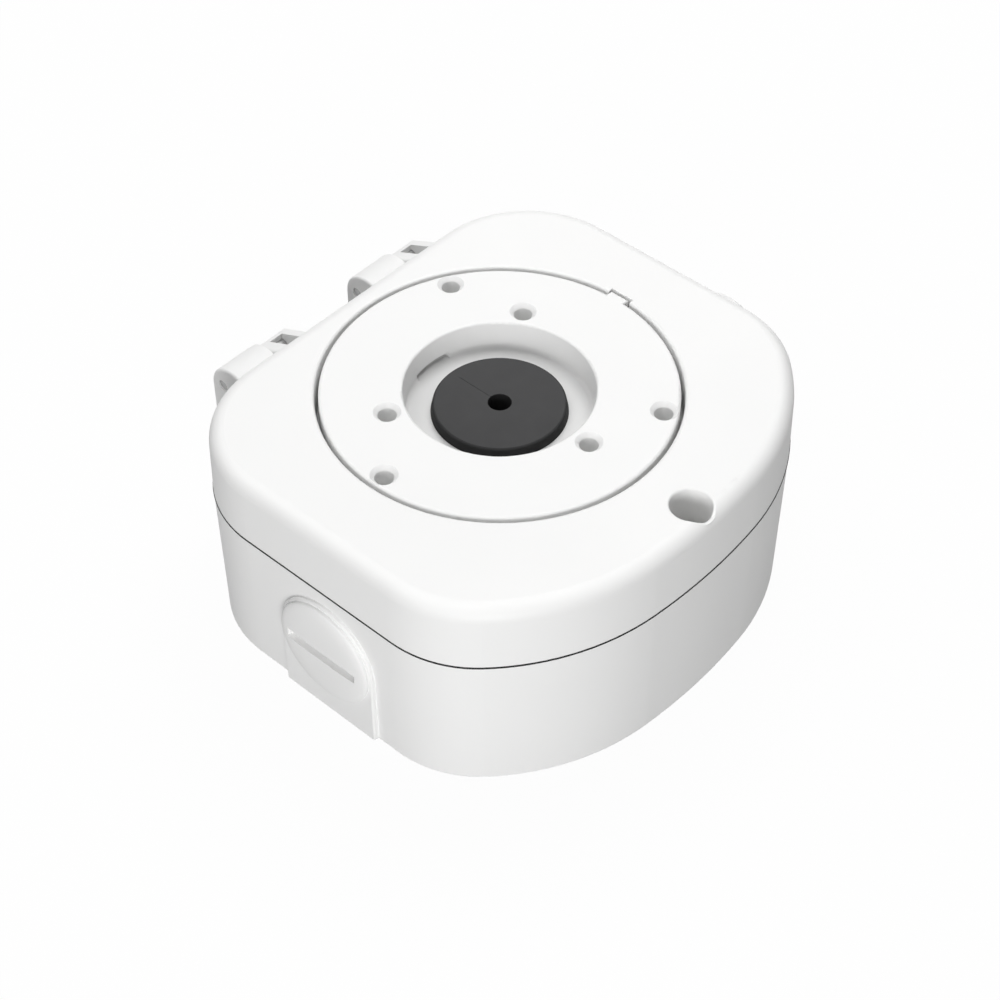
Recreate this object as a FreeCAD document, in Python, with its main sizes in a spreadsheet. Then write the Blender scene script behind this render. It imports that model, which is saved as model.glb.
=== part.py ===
import FreeCAD, Part
import math
import os
import re

import Sketcher

# Camera junction box: a tray, a hinged lid and a round camera mounting disc in the lid.
# Frame: +Z away from the wall, z = 0 on the wall, origin on the axis of the disc and of the
# rear cable entry. +Y is the hinge side, -Y the curved front, +X the side with the gland.

SIZES = {
    # Outline of tray and lid
    "half_width": 66.0,
    "back_depth": 52.3,
    "front_depth": 66.8,
    "back_corner": 29.8,
    "front_corner": 29.9,
    "shoulder_radius": 64.3,
    "nose_angle": 6.8,
    "shoulder_angle": 45.9,
    # Heights
    "tray_height": 41.0,
    "seam": 0.45,
    "lid_height": 18.35,
    # Tray
    "tray_foot_inset": 0.36,
    "tray_wall": 3.6,
    "tray_floor": 3.0,
    "tray_floor_bevel": 1.5,
    # Lid
    "lid_top_inset": 0.45,
    "lid_edge_round": 3.9,
    "lid_wall": 3.8,
    "lid_plate": 3.0,
    "lid_rib": 2.0,
    "lid_rib_depth": 8.0,
    "lid_rib_y": 20.0,
    # Gasket between tray and lid
    "gasket_inset": 1.1,
    "gasket_width": 1.7,
    "gasket_clearance": 0.05,
    "gasket_groove_depth": 2.0,
    # Mounting disc and its seat in the lid
    "disc_radius": 44.5,
    "disc_gap": 1.0,
    "disc_edge_round": 0.8,
    "disc_plate": 3.5,
    "disc_depth": 9.8,
    "disc_rim_wall": 2.5,
    "disc_seal_thickness": 0.5,
    "disc_seal_width": 2.0,
    "seat_wall": 2.5,
    "seat_flange": 2.5,
    "seat_inner_radius": 36.5,
    # Key that stops the disc from turning
    "key_reach": 1.7,
    "key_left": 3.0,
    "key_right": 2.7,
    "key_end_gap": 0.7,
    "key_left_gap": 0.3,
    "key_right_gap": 0.9,
    # Cup in the middle of the disc
    "cup_radius": 23.85,
    "cup_foot_inset": 0.55,
    "cup_depth": 7.8,
    "cup_wall": 2.5,
    "cup_floor": 2.5,
    "cup_edge_round": 0.6,
    "cup_floor_round": 1.2,
    "cup_slot_length": 11.6,
    "cup_slot_height": 1.6,
    "cup_slot_depth": 1.6,
    # Camera screw holes in the disc
    "outer_hole_distance": 40.7,
    "inner_hole_distance": 28.7,
    "camera_hole_radius": 2.4,
    "camera_hole_depth": 8.0,
    "camera_hole_chamfer": 1.05,
    "disc_boss_radius": 3.9,
    "disc_boss_gap": 0.6,
    # Cable grommet
    "grommet_top_radius": 16.6,
    "grommet_radius": 17.15,
    "grommet_top": 2.7,
    "grommet_neck_radius": 14.5,
    "grommet_bottom": 2.4,
    "grommet_hole_radius": 3.0,
    "grommet_edge_bevel": 0.45,
    "grommet_slit_width": 0.1,
    "grommet_slit_reach": 13.6,
    # Screws that hold the disc in the lid
    "disc_screw_radius": 1.5,
    "disc_screw_clearance": 0.2,
    "disc_screw_head_radius": 2.8,
    "disc_screw_head": 2.2,
    "disc_screw_length": 7.0,
    "cross_length": 3.0,
    "cross_width": 0.8,
    "cross_depth": 1.4,
    # Lid screw, its well in the lid and its post in the tray
    "lid_screw_inset": 7.0,
    "well_radius": 5.15,
    "well_edge_round": 0.5,
    "well_floor_rise": 3.25,
    "well_floor": 2.5,
    "well_wall": 1.0,
    "lid_screw_head_radius": 3.6,
    "lid_screw_head": 3.0,
    "lid_screw_waist": 1.35,
    "lid_screw_core": 1.6,
    "lid_screw_clearance": 0.2,
    "lid_screw_hex": 3.0,
    "lid_screw_hex_depth": 1.8,
    "lid_screw_seal": 1.0,
    "washer_radius": 3.0,
    "washer_thickness": 0.6,
    "thread_length": 4.5,
    "thread_tip_drop": 8.0,
    "post_drop": 4.5,
    "post_radius": 5.6,
    "post_hole_radius": 2.1,
    "post_hole_depth": 12.0,
    # Hinges
    "hinge_reach": 8.5,
    "hinge_rise": 7.0,
    "hinge_start": 37.04,
    "hinge_pitch": 48.2,
    "pin_radius": 1.6,
    "pin_recess": 0.5,
    "pin_clearance": 0.05,
    "ear_length": 12.75,
    "ear_round": 7.2,
    "ear_round_back": 3.1,
    "ear_round_down": 1.0,
    "ear_swing": 8.2,
    "ear_lid_gap": 0.5,
    "ear_foot_drop": 7.0,
    "ear_foot_height": 13.0,
    "ear_edge_round": 0.8,
    "arm_gap": 0.5,
    "arm_length": 10.4,
    "arm_round": 3.15,
    "arm_drop": 3.6,
    "arm_lift": 1.75,
    "arm_edge_round": 1.2,
    "arm_pocket_width": 4.15,
    "arm_pocket_shift": 0.75,
    "arm_pocket_depth": 9.2,
    "arm_pocket_reach": 8.4,
    # Side ports
    "port_y": -3.9,
    "port_drop": 19.2,
    "pad_radius": 15.3,
    "pad_proud": 1.0,
    "pad_edge_bevel": 0.4,
    "port_radius": 10.0,
    "port_clearance": 0.05,
    "port_boss_wall": 3.4,
    "port_boss_length": 4.6,
    "port_seal_width": 1.9,
    "port_seal_depth": 1.5,
    # Slotted plug of the left port
    "plug_head_radius": 14.5,
    "plug_head": 2.0,
    "plug_edge_round": 1.3,
    "plug_shank": 8.0,
    "plug_slot_length": 22.6,
    "plug_slot_width": 3.0,
    "plug_slot_depth": 2.8,
    # Cable gland of the right port
    "gland_hex": 24.0,
    "gland_hex_height": 5.0,
    "gland_hex_chamfer": 0.8,
    "gland_shank": 8.5,
    "gland_neck_radius": 9.0,
    "gland_neck": 9.0,
    "gland_bore": 6.5,
    "gland_nut_radius": 12.05,
    "gland_nut_gap": 0.8,
    "gland_nut_length": 17.7,
    "gland_nut_bevel": 1.0,
    "gland_nut_roof": 3.0,
    "gland_flutes": 12,
    "gland_flute_depth": 0.7,
    "gland_bush_bore": 5.0,
    # Fixing to the wall
    "wall_hole_x": 46.0,
    "wall_hole_y": 38.0,
    "wall_hole_radius": 2.6,
    "wall_boss_radius": 6.0,
    "wall_boss_height": 2.0,
    "rear_entry_radius": 12.5,
    # Earth terminal
    "earth_x": -20.0,
    "earth_y": 36.0,
    "earth_post_radius": 4.5,
    "earth_post_height": 5.0,
    "earth_screw_radius": 1.9,
    "earth_screw_length": 6.0,
    "earth_head_radius": 3.8,
    "earth_head": 2.6,
    "earth_slot_width": 1.0,
    "earth_slot_depth": 1.2,
    "earth_washer_radius": 4.4,
    "earth_washer": 0.8,
}

OUTER_HOLE_ANGLES = (60, 180, 300)
INNER_HOLE_ANGLES = (30, 150, 270)
DISC_SCREW_ANGLES = (0, 120, 240)

# Sizes that follow from the ones above, as formulas.
LID_BOTTOM = "(tray_height + seam)"
LID_TOP = "(tray_height + seam + lid_height)"
OPENING = "(disc_radius + disc_gap)"
DISC_BOTTOM = "(tray_height + seam + lid_height - disc_depth)"
SEAT_TOP = "(tray_height + seam + lid_height - disc_depth - disc_seal_thickness)"
CUP_FLOOR_TOP = "(tray_height + seam + lid_height - cup_depth)"
CUP_LOW_RADIUS = "(cup_radius - cup_foot_inset)"
BOSS_BOTTOM = "(tray_height + seam + lid_height - disc_depth + disc_boss_gap)"
PAD_FACE = "(half_width + pad_proud)"
NOSE_RADIUS = ("(shoulder_radius + (half_width - front_corner + (front_corner - shoulder_radius)"
               " * sin(shoulder_angle)) / sin(nose_angle))")
NOSE_CENTRE = "(" + NOSE_RADIUS + " - front_depth)"
CORNER_CENTRE = ("(" + NOSE_CENTRE + " - (" + NOSE_RADIUS + " - shoulder_radius) * cos(nose_angle)"
                 " - (shoulder_radius - front_corner) * cos(shoulder_angle))")
LID_SCREW_Y = "(front_depth - lid_screw_inset)"
WELL_FLOOR = "(tray_height + seam + well_floor_rise)"
HEAD_SEAT = "(tray_height + seam + well_floor_rise + lid_screw_seal)"
POST_TOP = "(tray_height - post_drop)"
PORT_Z = "(tray_height - port_drop)"
THREAD_TIP = "(tray_height - thread_tip_drop)"
HINGE_Y = "(back_depth + hinge_reach)"
HINGE_Z = "(tray_height + hinge_rise)"

doc = FreeCAD.newDocument("camera_mount_base")
sheet = doc.addObject("Spreadsheet::Sheet", "Sizes")
for row, (alias, size) in enumerate(SIZES.items(), start=1):
    sheet.set("A%d" % row, alias)
    sheet.set("B%d" % row, str(size))
    sheet.setAlias("B%d" % row, alias)
doc.recompute()


def cells(formula):
    """Write a formula of size names as an expression on the sheet's cells."""
    def cell(match):
        word = match.group(0)
        return "Sizes." + word if word in SIZES else word
    return re.sub(r"[a-z_]+", cell, str(formula))


def number(formula):
    """Value of a formula of size names; trigonometry inside it works in degrees."""
    text = cells(formula)
    text = re.sub(r"(sin|cos)\((Sizes\.[a-z_]+)\)", r"\1(\2 * 1deg)", text)
    return float(sheet.evalExpression(text))


def bind(item, prop, formula):
    """Bind one property of a feature to a formula of size names."""
    text = re.sub(r"(sin|cos)\((Sizes\.[a-z_]+)\)", r"\1(\2 * 1deg)", cells(formula))
    item.setExpression(prop, text)


def new_body(name):
    body = doc.addObject("PartDesign::Body", name)
    body.Label = name
    return body


def origin_item(body, role):
    for item in body.Origin.OriginFeatures:
        if item.Role == role:
            return item
    raise ValueError(role)


class Drawing:
    """A sketch on an origin plane of a body, with every point and radius bound to the sheet."""

    def __init__(self, body, name, plane="XY_Plane", offset="0"):
        self.body = body
        self.sketch = body.newObject("Sketcher::SketchObject", name)
        self.sketch.AttachmentSupport = [(origin_item(body, plane), "")]
        self.sketch.MapMode = "FlatFace"
        bind(self.sketch, "AttachmentOffset.Base.z", offset)

    def hold(self, constraint, formula):
        index = self.sketch.addConstraint(constraint)
        bind(self.sketch, "Constraints[%d]" % index, formula)

    def place(self, edge, end, x, y):
        """Hold one point of an edge at (x, y)."""
        self.hold(Sketcher.Constraint("DistanceX", edge, end, number(x)), x)
        self.hold(Sketcher.Constraint("DistanceY", edge, end, number(y)), y)

    def circle(self, x, y, radius):
        centre = FreeCAD.Vector(number(x), number(y), 0)
        edge = self.sketch.addGeometry(Part.Circle(centre, FreeCAD.Vector(0, 0, 1), number(radius)))
        self.place(edge, 3, x, y)
        self.hold(Sketcher.Constraint("Radius", edge, number(radius)), radius)

    def polygon(self, points):
        """Closed polygon; every corner is held at its own (x, y)."""
        places = [FreeCAD.Vector(number(x), number(y), 0) for x, y in points]
        edges = []
        for index, start in enumerate(places):
            end = places[(index + 1) % len(places)]
            edges.append(self.sketch.addGeometry(Part.LineSegment(start, end)))
        self.join(edges)
        for edge, point in zip(edges, points):
            self.place(edge, 1, *point)

    def join(self, edges):
        """Join the end of each edge to the start of the next, all the way round."""
        for index, edge in enumerate(edges):
            following = edges[(index + 1) % len(edges)]
            self.sketch.addConstraint(Sketcher.Constraint("Coincident", edge, 2, following, 1))

    def rectangle(self, x_low, y_low, x_high, y_high):
        self.polygon([(x_low, y_low), (x_high, y_low), (x_high, y_high), (x_low, y_high)])

    def arc_chain(self, elements):
        """Closed chain of arcs (x, y, radius, start angle, end angle, held) and straight lines.

        Neighbours touch smoothly. Every arc keeps its radius, and a held one its centre too; the
        others are placed by their neighbours. A line is an element with the text "line".
        """
        arcs = {}
        for index, element in enumerate(elements):
            if element != "line":
                x, y, radius, start, end, held = element
                centre = FreeCAD.Vector(number(x), number(y), 0)
                full = Part.Circle(centre, FreeCAD.Vector(0, 0, 1), number(radius))
                arc = Part.ArcOfCircle(full, math.radians(start), math.radians(end))
                arcs[index] = self.sketch.addGeometry(arc)
                if held:
                    self.place(arcs[index], 3, x, y)
                self.hold(Sketcher.Constraint("Radius", arcs[index], number(radius)), radius)
        edges = dict(arcs)
        count = len(elements)
        for index, element in enumerate(elements):
            if element == "line":
                before = self.sketch.Geometry[arcs[(index - 1) % count]]
                after = self.sketch.Geometry[arcs[(index + 1) % count]]
                line = Part.LineSegment(before.EndPoint, after.StartPoint)
                edges[index] = self.sketch.addGeometry(line)
        for index in range(count):
            first, second = edges[index], edges[(index + 1) % count]
            self.sketch.addConstraint(Sketcher.Constraint("Tangent", first, 2, second, 1))

    def outline(self, inset):
        """The box's outline in plan, moved in by the inset; it runs anticlockwise."""
        back_x = "half_width - back_corner"
        back_y = "back_depth - back_corner"
        front_x = "half_width - front_corner"
        nose, shoulder = SIZES["nose_angle"], SIZES["shoulder_angle"]
        shoulder_x = "(" + NOSE_RADIUS + " - shoulder_radius) * sin(nose_angle)"
        shoulder_y = NOSE_CENTRE + " - (" + NOSE_RADIUS + " - shoulder_radius) * cos(nose_angle)"
        back = "back_corner - (%s)" % inset
        front = "front_corner - (%s)" % inset
        side = "shoulder_radius - (%s)" % inset
        nose_arc = NOSE_RADIUS + " - (%s)" % inset
        self.arc_chain([
            (back_x, back_y, back, 0, 90, True),
            "line",
            ("-(%s)" % back_x, back_y, back, 90, 180, True),
            "line",
            ("-(%s)" % front_x, CORNER_CENTRE, front, 180, 270 - shoulder, True),
            ("-(%s)" % shoulder_x, shoulder_y, side, 270 - shoulder, 270 - nose, False),
            ("0", NOSE_CENTRE, nose_arc, 270 - nose, 270 + nose, True),
            (shoulder_x, shoulder_y, side, 270 + nose, 270 + shoulder, False),
            (front_x, CORNER_CENTRE, front, 270 + shoulder, 360, True),
            "line",
        ])


def settle(feature):
    """Recompute, and stop at the first feature that has no sound shape."""
    doc.recompute()
    if feature.Shape.isNull() or "Invalid" in feature.State or not feature.Shape.isValid():
        raise ValueError("%s: %s" % (feature.Name, feature.getStatusString()))
    return feature


def pad(drawing, length, down=False, taper=None):
    feature = drawing.body.newObject("PartDesign::Pad", drawing.sketch.Name + "_pad")
    feature.Profile = drawing.sketch
    bind(feature, "Length", length)
    feature.Reversed = down
    if taper is not None:
        bind(feature, "TaperAngle", taper)
    return settle(feature)


def pocket(drawing, length, up=False, through=False):
    """Cut a drawing into its body, and make sure that something was cut away."""
    before = drawing.body.Shape.Volume
    feature = drawing.body.newObject("PartDesign::Pocket", drawing.sketch.Name + "_pocket")
    feature.Profile = drawing.sketch
    feature.Reversed = up
    if through:
        feature.Type = "ThroughAll"
        feature.Midplane = True
    else:
        bind(feature, "Length", length)
    settle(feature)
    if not feature.Shape.Volume < before - 1e-6:
        raise ValueError("%s cuts nothing" % feature.Name)
    return feature


def turn(body, name, points, cut=False):
    """Revolve a closed profile of (radius, height) corners about the body's Z axis."""
    drawing = Drawing(body, name, "XZ_Plane")
    drawing.polygon(points)
    kind = "PartDesign::Groove" if cut else "PartDesign::Revolution"
    feature = body.newObject(kind, name + "_turned")
    feature.Profile = drawing.sketch
    feature.ReferenceAxis = (drawing.sketch, ["V_Axis"])
    feature.Angle = 360
    return settle(feature)


def edges_where(feature, test):
    """Names of the edges whose middle point and curve pass the test."""
    names = []
    for index, edge in enumerate(feature.Shape.Edges, start=1):
        middle = edge.valueAt((edge.FirstParameter + edge.LastParameter) / 2)
        if test(middle, edge):
            names.append("Edge%d" % index)
    if not names:
        raise ValueError("no edge of %s matches" % feature.Name)
    return names


def circle_edge(x, y, z, radius):
    """Test for edges on a circle about a Z axis at (x, y), at height z."""
    def test(middle, edge):
        reach = math.hypot(middle.x - number(x), middle.y - number(y))
        return abs(middle.z - number(z)) < 1e-3 and abs(reach - number(radius)) < 1e-3
    return test


def dress(body, kind, base, names, size):
    feature = body.newObject("PartDesign::" + kind, base.Name + "_" + kind.lower())
    feature.Base = (base, names)
    bind(feature, "Size" if kind == "Chamfer" else "Radius", size)
    return settle(feature)


def put(body, x="0", y="0", z="0", rotation=None):
    """Place a body in the box's frame."""
    if rotation:
        body.Placement = FreeCAD.Placement(FreeCAD.Vector(), rotation)
    for axis, formula in (("x", x), ("y", y), ("z", z)):
        bind(body, "Placement.Base." + axis, formula)


def polar(radius, angle):
    """Formulas of the point at a radius and a fixed angle."""
    angle = math.radians(angle)
    return "%s * %.9f" % (radius, math.cos(angle)), "%s * %.9f" % (radius, math.sin(angle))


def port_discs(body, name, side, face, radius):
    """A circle about the side ports' axis, drawn at a distance from the middle plane."""
    drawing = Drawing(body, name, "YZ_Plane", "%s * (%s)" % (side, face))
    drawing.circle("port_y", PORT_Z, radius)
    return drawing


def make_tray():
    body = new_body("base_housing")
    plan = Drawing(body, "tray_plan")
    plan.outline("tray_foot_inset")
    pad(plan, "tray_height", taper="atan(tray_foot_inset / tray_height)")
    cavity = Drawing(body, "tray_cavity", offset="tray_height")
    cavity.outline("tray_wall")
    hollow = pocket(cavity, "tray_height - tray_floor")
    floor = number("tray_floor")
    corner = edges_where(hollow, lambda middle, edge: abs(middle.z - floor) < 1e-3)
    dress(body, "Chamfer", hollow, corner, "tray_floor_bevel")

    for side, name in ((-1, "left"), (1, "right")):
        plate = Drawing(body, name + "_pad", "YZ_Plane", "%d * %s" % (side, PAD_FACE))
        arch(plate)
        raised = pad(plate, "pad_proud + tray_wall / 2", down=side > 0)
        face = side * number(PAD_FACE)
        rim = edges_where(raised, lambda middle, edge: abs(middle.x - face) < 1e-3
                          and middle.z > 1e-3)
        dress(body, "Chamfer", raised, rim, "pad_edge_bevel")
        boss = port_discs(body, name + "_port_boss", side, "half_width - tray_wall / 2",
                          "port_radius + port_boss_wall")
        pad(boss, "tray_wall / 2 + port_boss_length", down=side > 0)

    for side, name in ((-1, "left"), (1, "right")):
        make_ear(body, name, side)

    post = Drawing(body, "lid_screw_post", offset="tray_floor / 2")
    post.circle("0", "-" + LID_SCREW_Y, "post_radius")
    pad(post, POST_TOP + " - tray_floor / 2")
    bosses = Drawing(body, "wall_bosses", offset="tray_floor / 2")
    for x in ("wall_hole_x", "-wall_hole_x"):
        for y in ("wall_hole_y", "-wall_hole_y"):
            bosses.circle(x, y, "wall_boss_radius")
    pad(bosses, "tray_floor / 2 + wall_boss_height")
    earth = Drawing(body, "earth_post", offset="tray_floor / 2")
    earth.circle("earth_x", "earth_y", "earth_post_radius")
    pad(earth, "tray_floor / 2 + earth_post_height")

    holes = Drawing(body, "floor_holes", offset="tray_floor + wall_boss_height")
    for x in ("wall_hole_x", "-wall_hole_x"):
        for y in ("wall_hole_y", "-wall_hole_y"):
            holes.circle(x, y, "wall_hole_radius")
    holes.circle("0", "0", "rear_entry_radius")
    pocket(holes, "tray_floor + wall_boss_height")
    tapped = Drawing(body, "lid_screw_hole", offset=POST_TOP)
    tapped.circle("0", "-" + LID_SCREW_Y, "post_hole_radius")
    pocket(tapped, "post_hole_depth")
    earth_hole = Drawing(body, "earth_hole", offset="tray_floor + earth_post_height")
    earth_hole.circle("earth_x", "earth_y", "earth_screw_radius")
    pocket(earth_hole, "earth_screw_length - earth_washer")

    for side, name in ((-1, "left"), (1, "right")):
        seat = port_discs(body, name + "_seal_seat", side, PAD_FACE,
                          "port_radius + port_seal_width")
        pocket(seat, "port_seal_depth", up=side < 0)
    ports = Drawing(body, "ports", "YZ_Plane")
    ports.circle("port_y", PORT_Z, "port_radius + port_clearance")
    pocket(ports, None, through=True)
    return body


def arch(drawing):
    """Arched pad round a side port: a half circle on straight sides down to the wall plane."""
    centre = FreeCAD.Vector(number("port_y"), number(PORT_Z), 0)
    full = Part.Circle(centre, FreeCAD.Vector(0, 0, 1), number("pad_radius"))
    quarters = [drawing.sketch.addGeometry(Part.ArcOfCircle(full, start, start + math.pi / 2))
                for start in (0, math.pi / 2)]
    corners = [("port_y - pad_radius", PORT_Z), ("port_y - pad_radius", "0"),
               ("port_y + pad_radius", "0"), ("port_y + pad_radius", PORT_Z)]
    places = [FreeCAD.Vector(number(x), number(y), 0) for x, y in corners]
    lines = [drawing.sketch.addGeometry(Part.LineSegment(places[i], places[i + 1]))
             for i in range(3)]
    drawing.join(quarters + lines)
    for quarter in quarters:
        drawing.place(quarter, 3, "port_y", PORT_Z)
    drawing.hold(Sketcher.Constraint("DistanceX", quarters[0], 2, number("port_y")), "port_y")
    drawing.hold(Sketcher.Constraint("DistanceY", quarters[0], 2, number(PORT_Z + " + pad_radius")),
                 PORT_Z + " + pad_radius")
    drawing.hold(Sketcher.Constraint("DistanceY", lines[0], 1, number(PORT_Z)), PORT_Z)
    drawing.hold(Sketcher.Constraint("DistanceY", lines[2], 2, number(PORT_Z)), PORT_Z)
    drawing.place(lines[1], 1, *corners[1])
    drawing.place(lines[1], 2, *corners[2])


def hinge_face(side):
    """Distance from the middle plane to the pin-hole end of a hinge; both face -X."""
    return "(-hinge_start)" if side < 0 else "(hinge_pitch - hinge_start)"


def make_ear(body, name, side):
    """Hinge ear cast onto the tray: a crown over the pin, hollowed where the lid swings past."""
    face = hinge_face(side)
    inside = "back_depth - tray_wall / 2"
    front = "back_depth + ear_lid_gap"
    crown_y = "(%s - ear_round_back)" % HINGE_Y
    crown_z = "(%s - ear_round_down)" % HINGE_Z
    back = crown_y + " + ear_round"
    foot = "tray_height - ear_foot_drop"
    notch_z = "%s + sqrt(ear_swing ^ 2 - (hinge_reach - ear_lid_gap) ^ 2)" % HINGE_Z

    crown_centre = FreeCAD.Vector(number(crown_y), number(crown_z), 0)
    hinge_centre = FreeCAD.Vector(number(HINGE_Y), number(HINGE_Z), 0)
    crown = Part.Circle(crown_centre, FreeCAD.Vector(0, 0, 1), number("ear_round"))
    swing = Part.Circle(hinge_centre, FreeCAD.Vector(0, 0, 1), number("ear_swing"))
    crossings = [FreeCAD.Vector(point.X, point.Y, 0) for point in crown.intersectCC(swing)]
    ridge = max(crossings, key=lambda point: point.y)
    notch = FreeCAD.Vector(number(front), number(notch_z), 0)
    step = FreeCAD.Vector(number(front), number("tray_height"), 0)
    root = FreeCAD.Vector(number(inside), number("tray_height"), 0)
    low = FreeCAD.Vector(number(inside), number(foot + " - ear_foot_height"), 0)
    heel = FreeCAD.Vector(number(back), number(foot), 0)
    side_top = FreeCAD.Vector(number(back), number(crown_z), 0)

    drawing = Drawing(body, name + "_ear", "YZ_Plane", face)
    chain = [drawing.sketch.addGeometry(edge) for edge in (
        Part.ArcOfCircle(crown, 0, crown.parameter(ridge)),
        Part.ArcOfCircle(swing, swing.parameter(ridge), swing.parameter(notch)),
        Part.LineSegment(notch, step),
        Part.LineSegment(step, root),
        Part.LineSegment(root, low),
        Part.LineSegment(low, heel),
        Part.LineSegment(heel, side_top),
    )]
    drawing.join(chain)
    drawing.place(chain[0], 3, crown_y, crown_z)
    drawing.hold(Sketcher.Constraint("Radius", chain[0], number("ear_round")), "ear_round")
    drawing.place(chain[1], 3, HINGE_Y, HINGE_Z)
    drawing.hold(Sketcher.Constraint("Radius", chain[1], number("ear_swing")), "ear_swing")
    drawing.hold(Sketcher.Constraint("DistanceX", chain[1], 2, number(front)), front)
    drawing.place(chain[3], 1, front, "tray_height")
    drawing.place(chain[4], 1, inside, "tray_height")
    drawing.place(chain[5], 1, inside, foot + " - ear_foot_height")
    drawing.place(chain[6], 1, back, foot)
    drawing.hold(Sketcher.Constraint("DistanceY", chain[6], 2, number(crown_z)), crown_z)
    block = pad(drawing, "ear_length")
    end, height = number(face), number(foot)
    outer = edges_where(block, lambda middle, edge: abs(middle.x - end) < 1e-3
                        and middle.z > height and middle.y > ridge.y)
    dress(body, "Fillet", block, outer, "ear_edge_round")
    bore = Drawing(body, name + "_pin_hole", "YZ_Plane", face)
    bore.circle(HINGE_Y, HINGE_Z, "pin_radius")
    pocket(bore, "ear_length", up=True)


def make_arm(body, name, side):
    """Hinge arm of the lid: a knuckle round the pin on a sloping web, opened between two cheeks."""
    face = "(%s + ear_length + arm_gap)" % hinge_face(side)
    drawing = Drawing(body, name + "_arm", "YZ_Plane", face)
    inside = "back_depth - lid_wall / 2"
    arm_top = LID_TOP + " - arm_drop"
    arm_bottom = LID_BOTTOM + " + arm_lift"
    knuckle = FreeCAD.Vector(number(HINGE_Y), number(HINGE_Z), 0)
    full = Part.Circle(knuckle, FreeCAD.Vector(0, 0, 1), number("arm_round"))
    arc = Part.ArcOfCircle(full, math.radians(-100), math.radians(60))
    round_end = drawing.sketch.addGeometry(arc)
    high = FreeCAD.Vector(number(inside), number(arm_top), 0)
    low = FreeCAD.Vector(number(inside), number(arm_bottom), 0)
    top = drawing.sketch.addGeometry(Part.LineSegment(arc.EndPoint, high))
    root = drawing.sketch.addGeometry(Part.LineSegment(high, low))
    bottom = drawing.sketch.addGeometry(Part.LineSegment(low, arc.StartPoint))
    drawing.sketch.addConstraint(Sketcher.Constraint("Tangent", round_end, 2, top, 1))
    drawing.sketch.addConstraint(Sketcher.Constraint("Coincident", top, 2, root, 1))
    drawing.sketch.addConstraint(Sketcher.Constraint("Coincident", root, 2, bottom, 1))
    drawing.sketch.addConstraint(Sketcher.Constraint("Tangent", bottom, 2, round_end, 1))
    drawing.place(round_end, 3, HINGE_Y, HINGE_Z)
    drawing.hold(Sketcher.Constraint("Radius", round_end, number("arm_round")), "arm_round")
    drawing.place(root, 1, inside, arm_top)
    drawing.place(root, 2, inside, arm_bottom)
    web = pad(drawing, "arm_length")
    end, behind = number(face), number("back_depth")
    outer = edges_where(web, lambda middle, edge: abs(middle.x - end) < 1e-3
                        and middle.y > behind)
    dress(body, "Fillet", web, outer, "arm_edge_round")
    hollow = Drawing(body, name + "_arm_pocket", offset=arm_top)
    middle = "(%s + arm_length / 2 + arm_pocket_shift)" % face
    near = "back_depth + ear_lid_gap"
    hollow.rectangle("%s - arm_pocket_width / 2" % middle, near,
                     "%s + arm_pocket_width / 2" % middle, near + " + arm_pocket_reach")
    pocket(hollow, "arm_pocket_depth")
    bore = Drawing(body, name + "_arm_bore", "YZ_Plane", face)
    bore.circle(HINGE_Y, HINGE_Z, "pin_radius + pin_clearance")
    pocket(bore, "arm_length", up=True)


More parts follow.
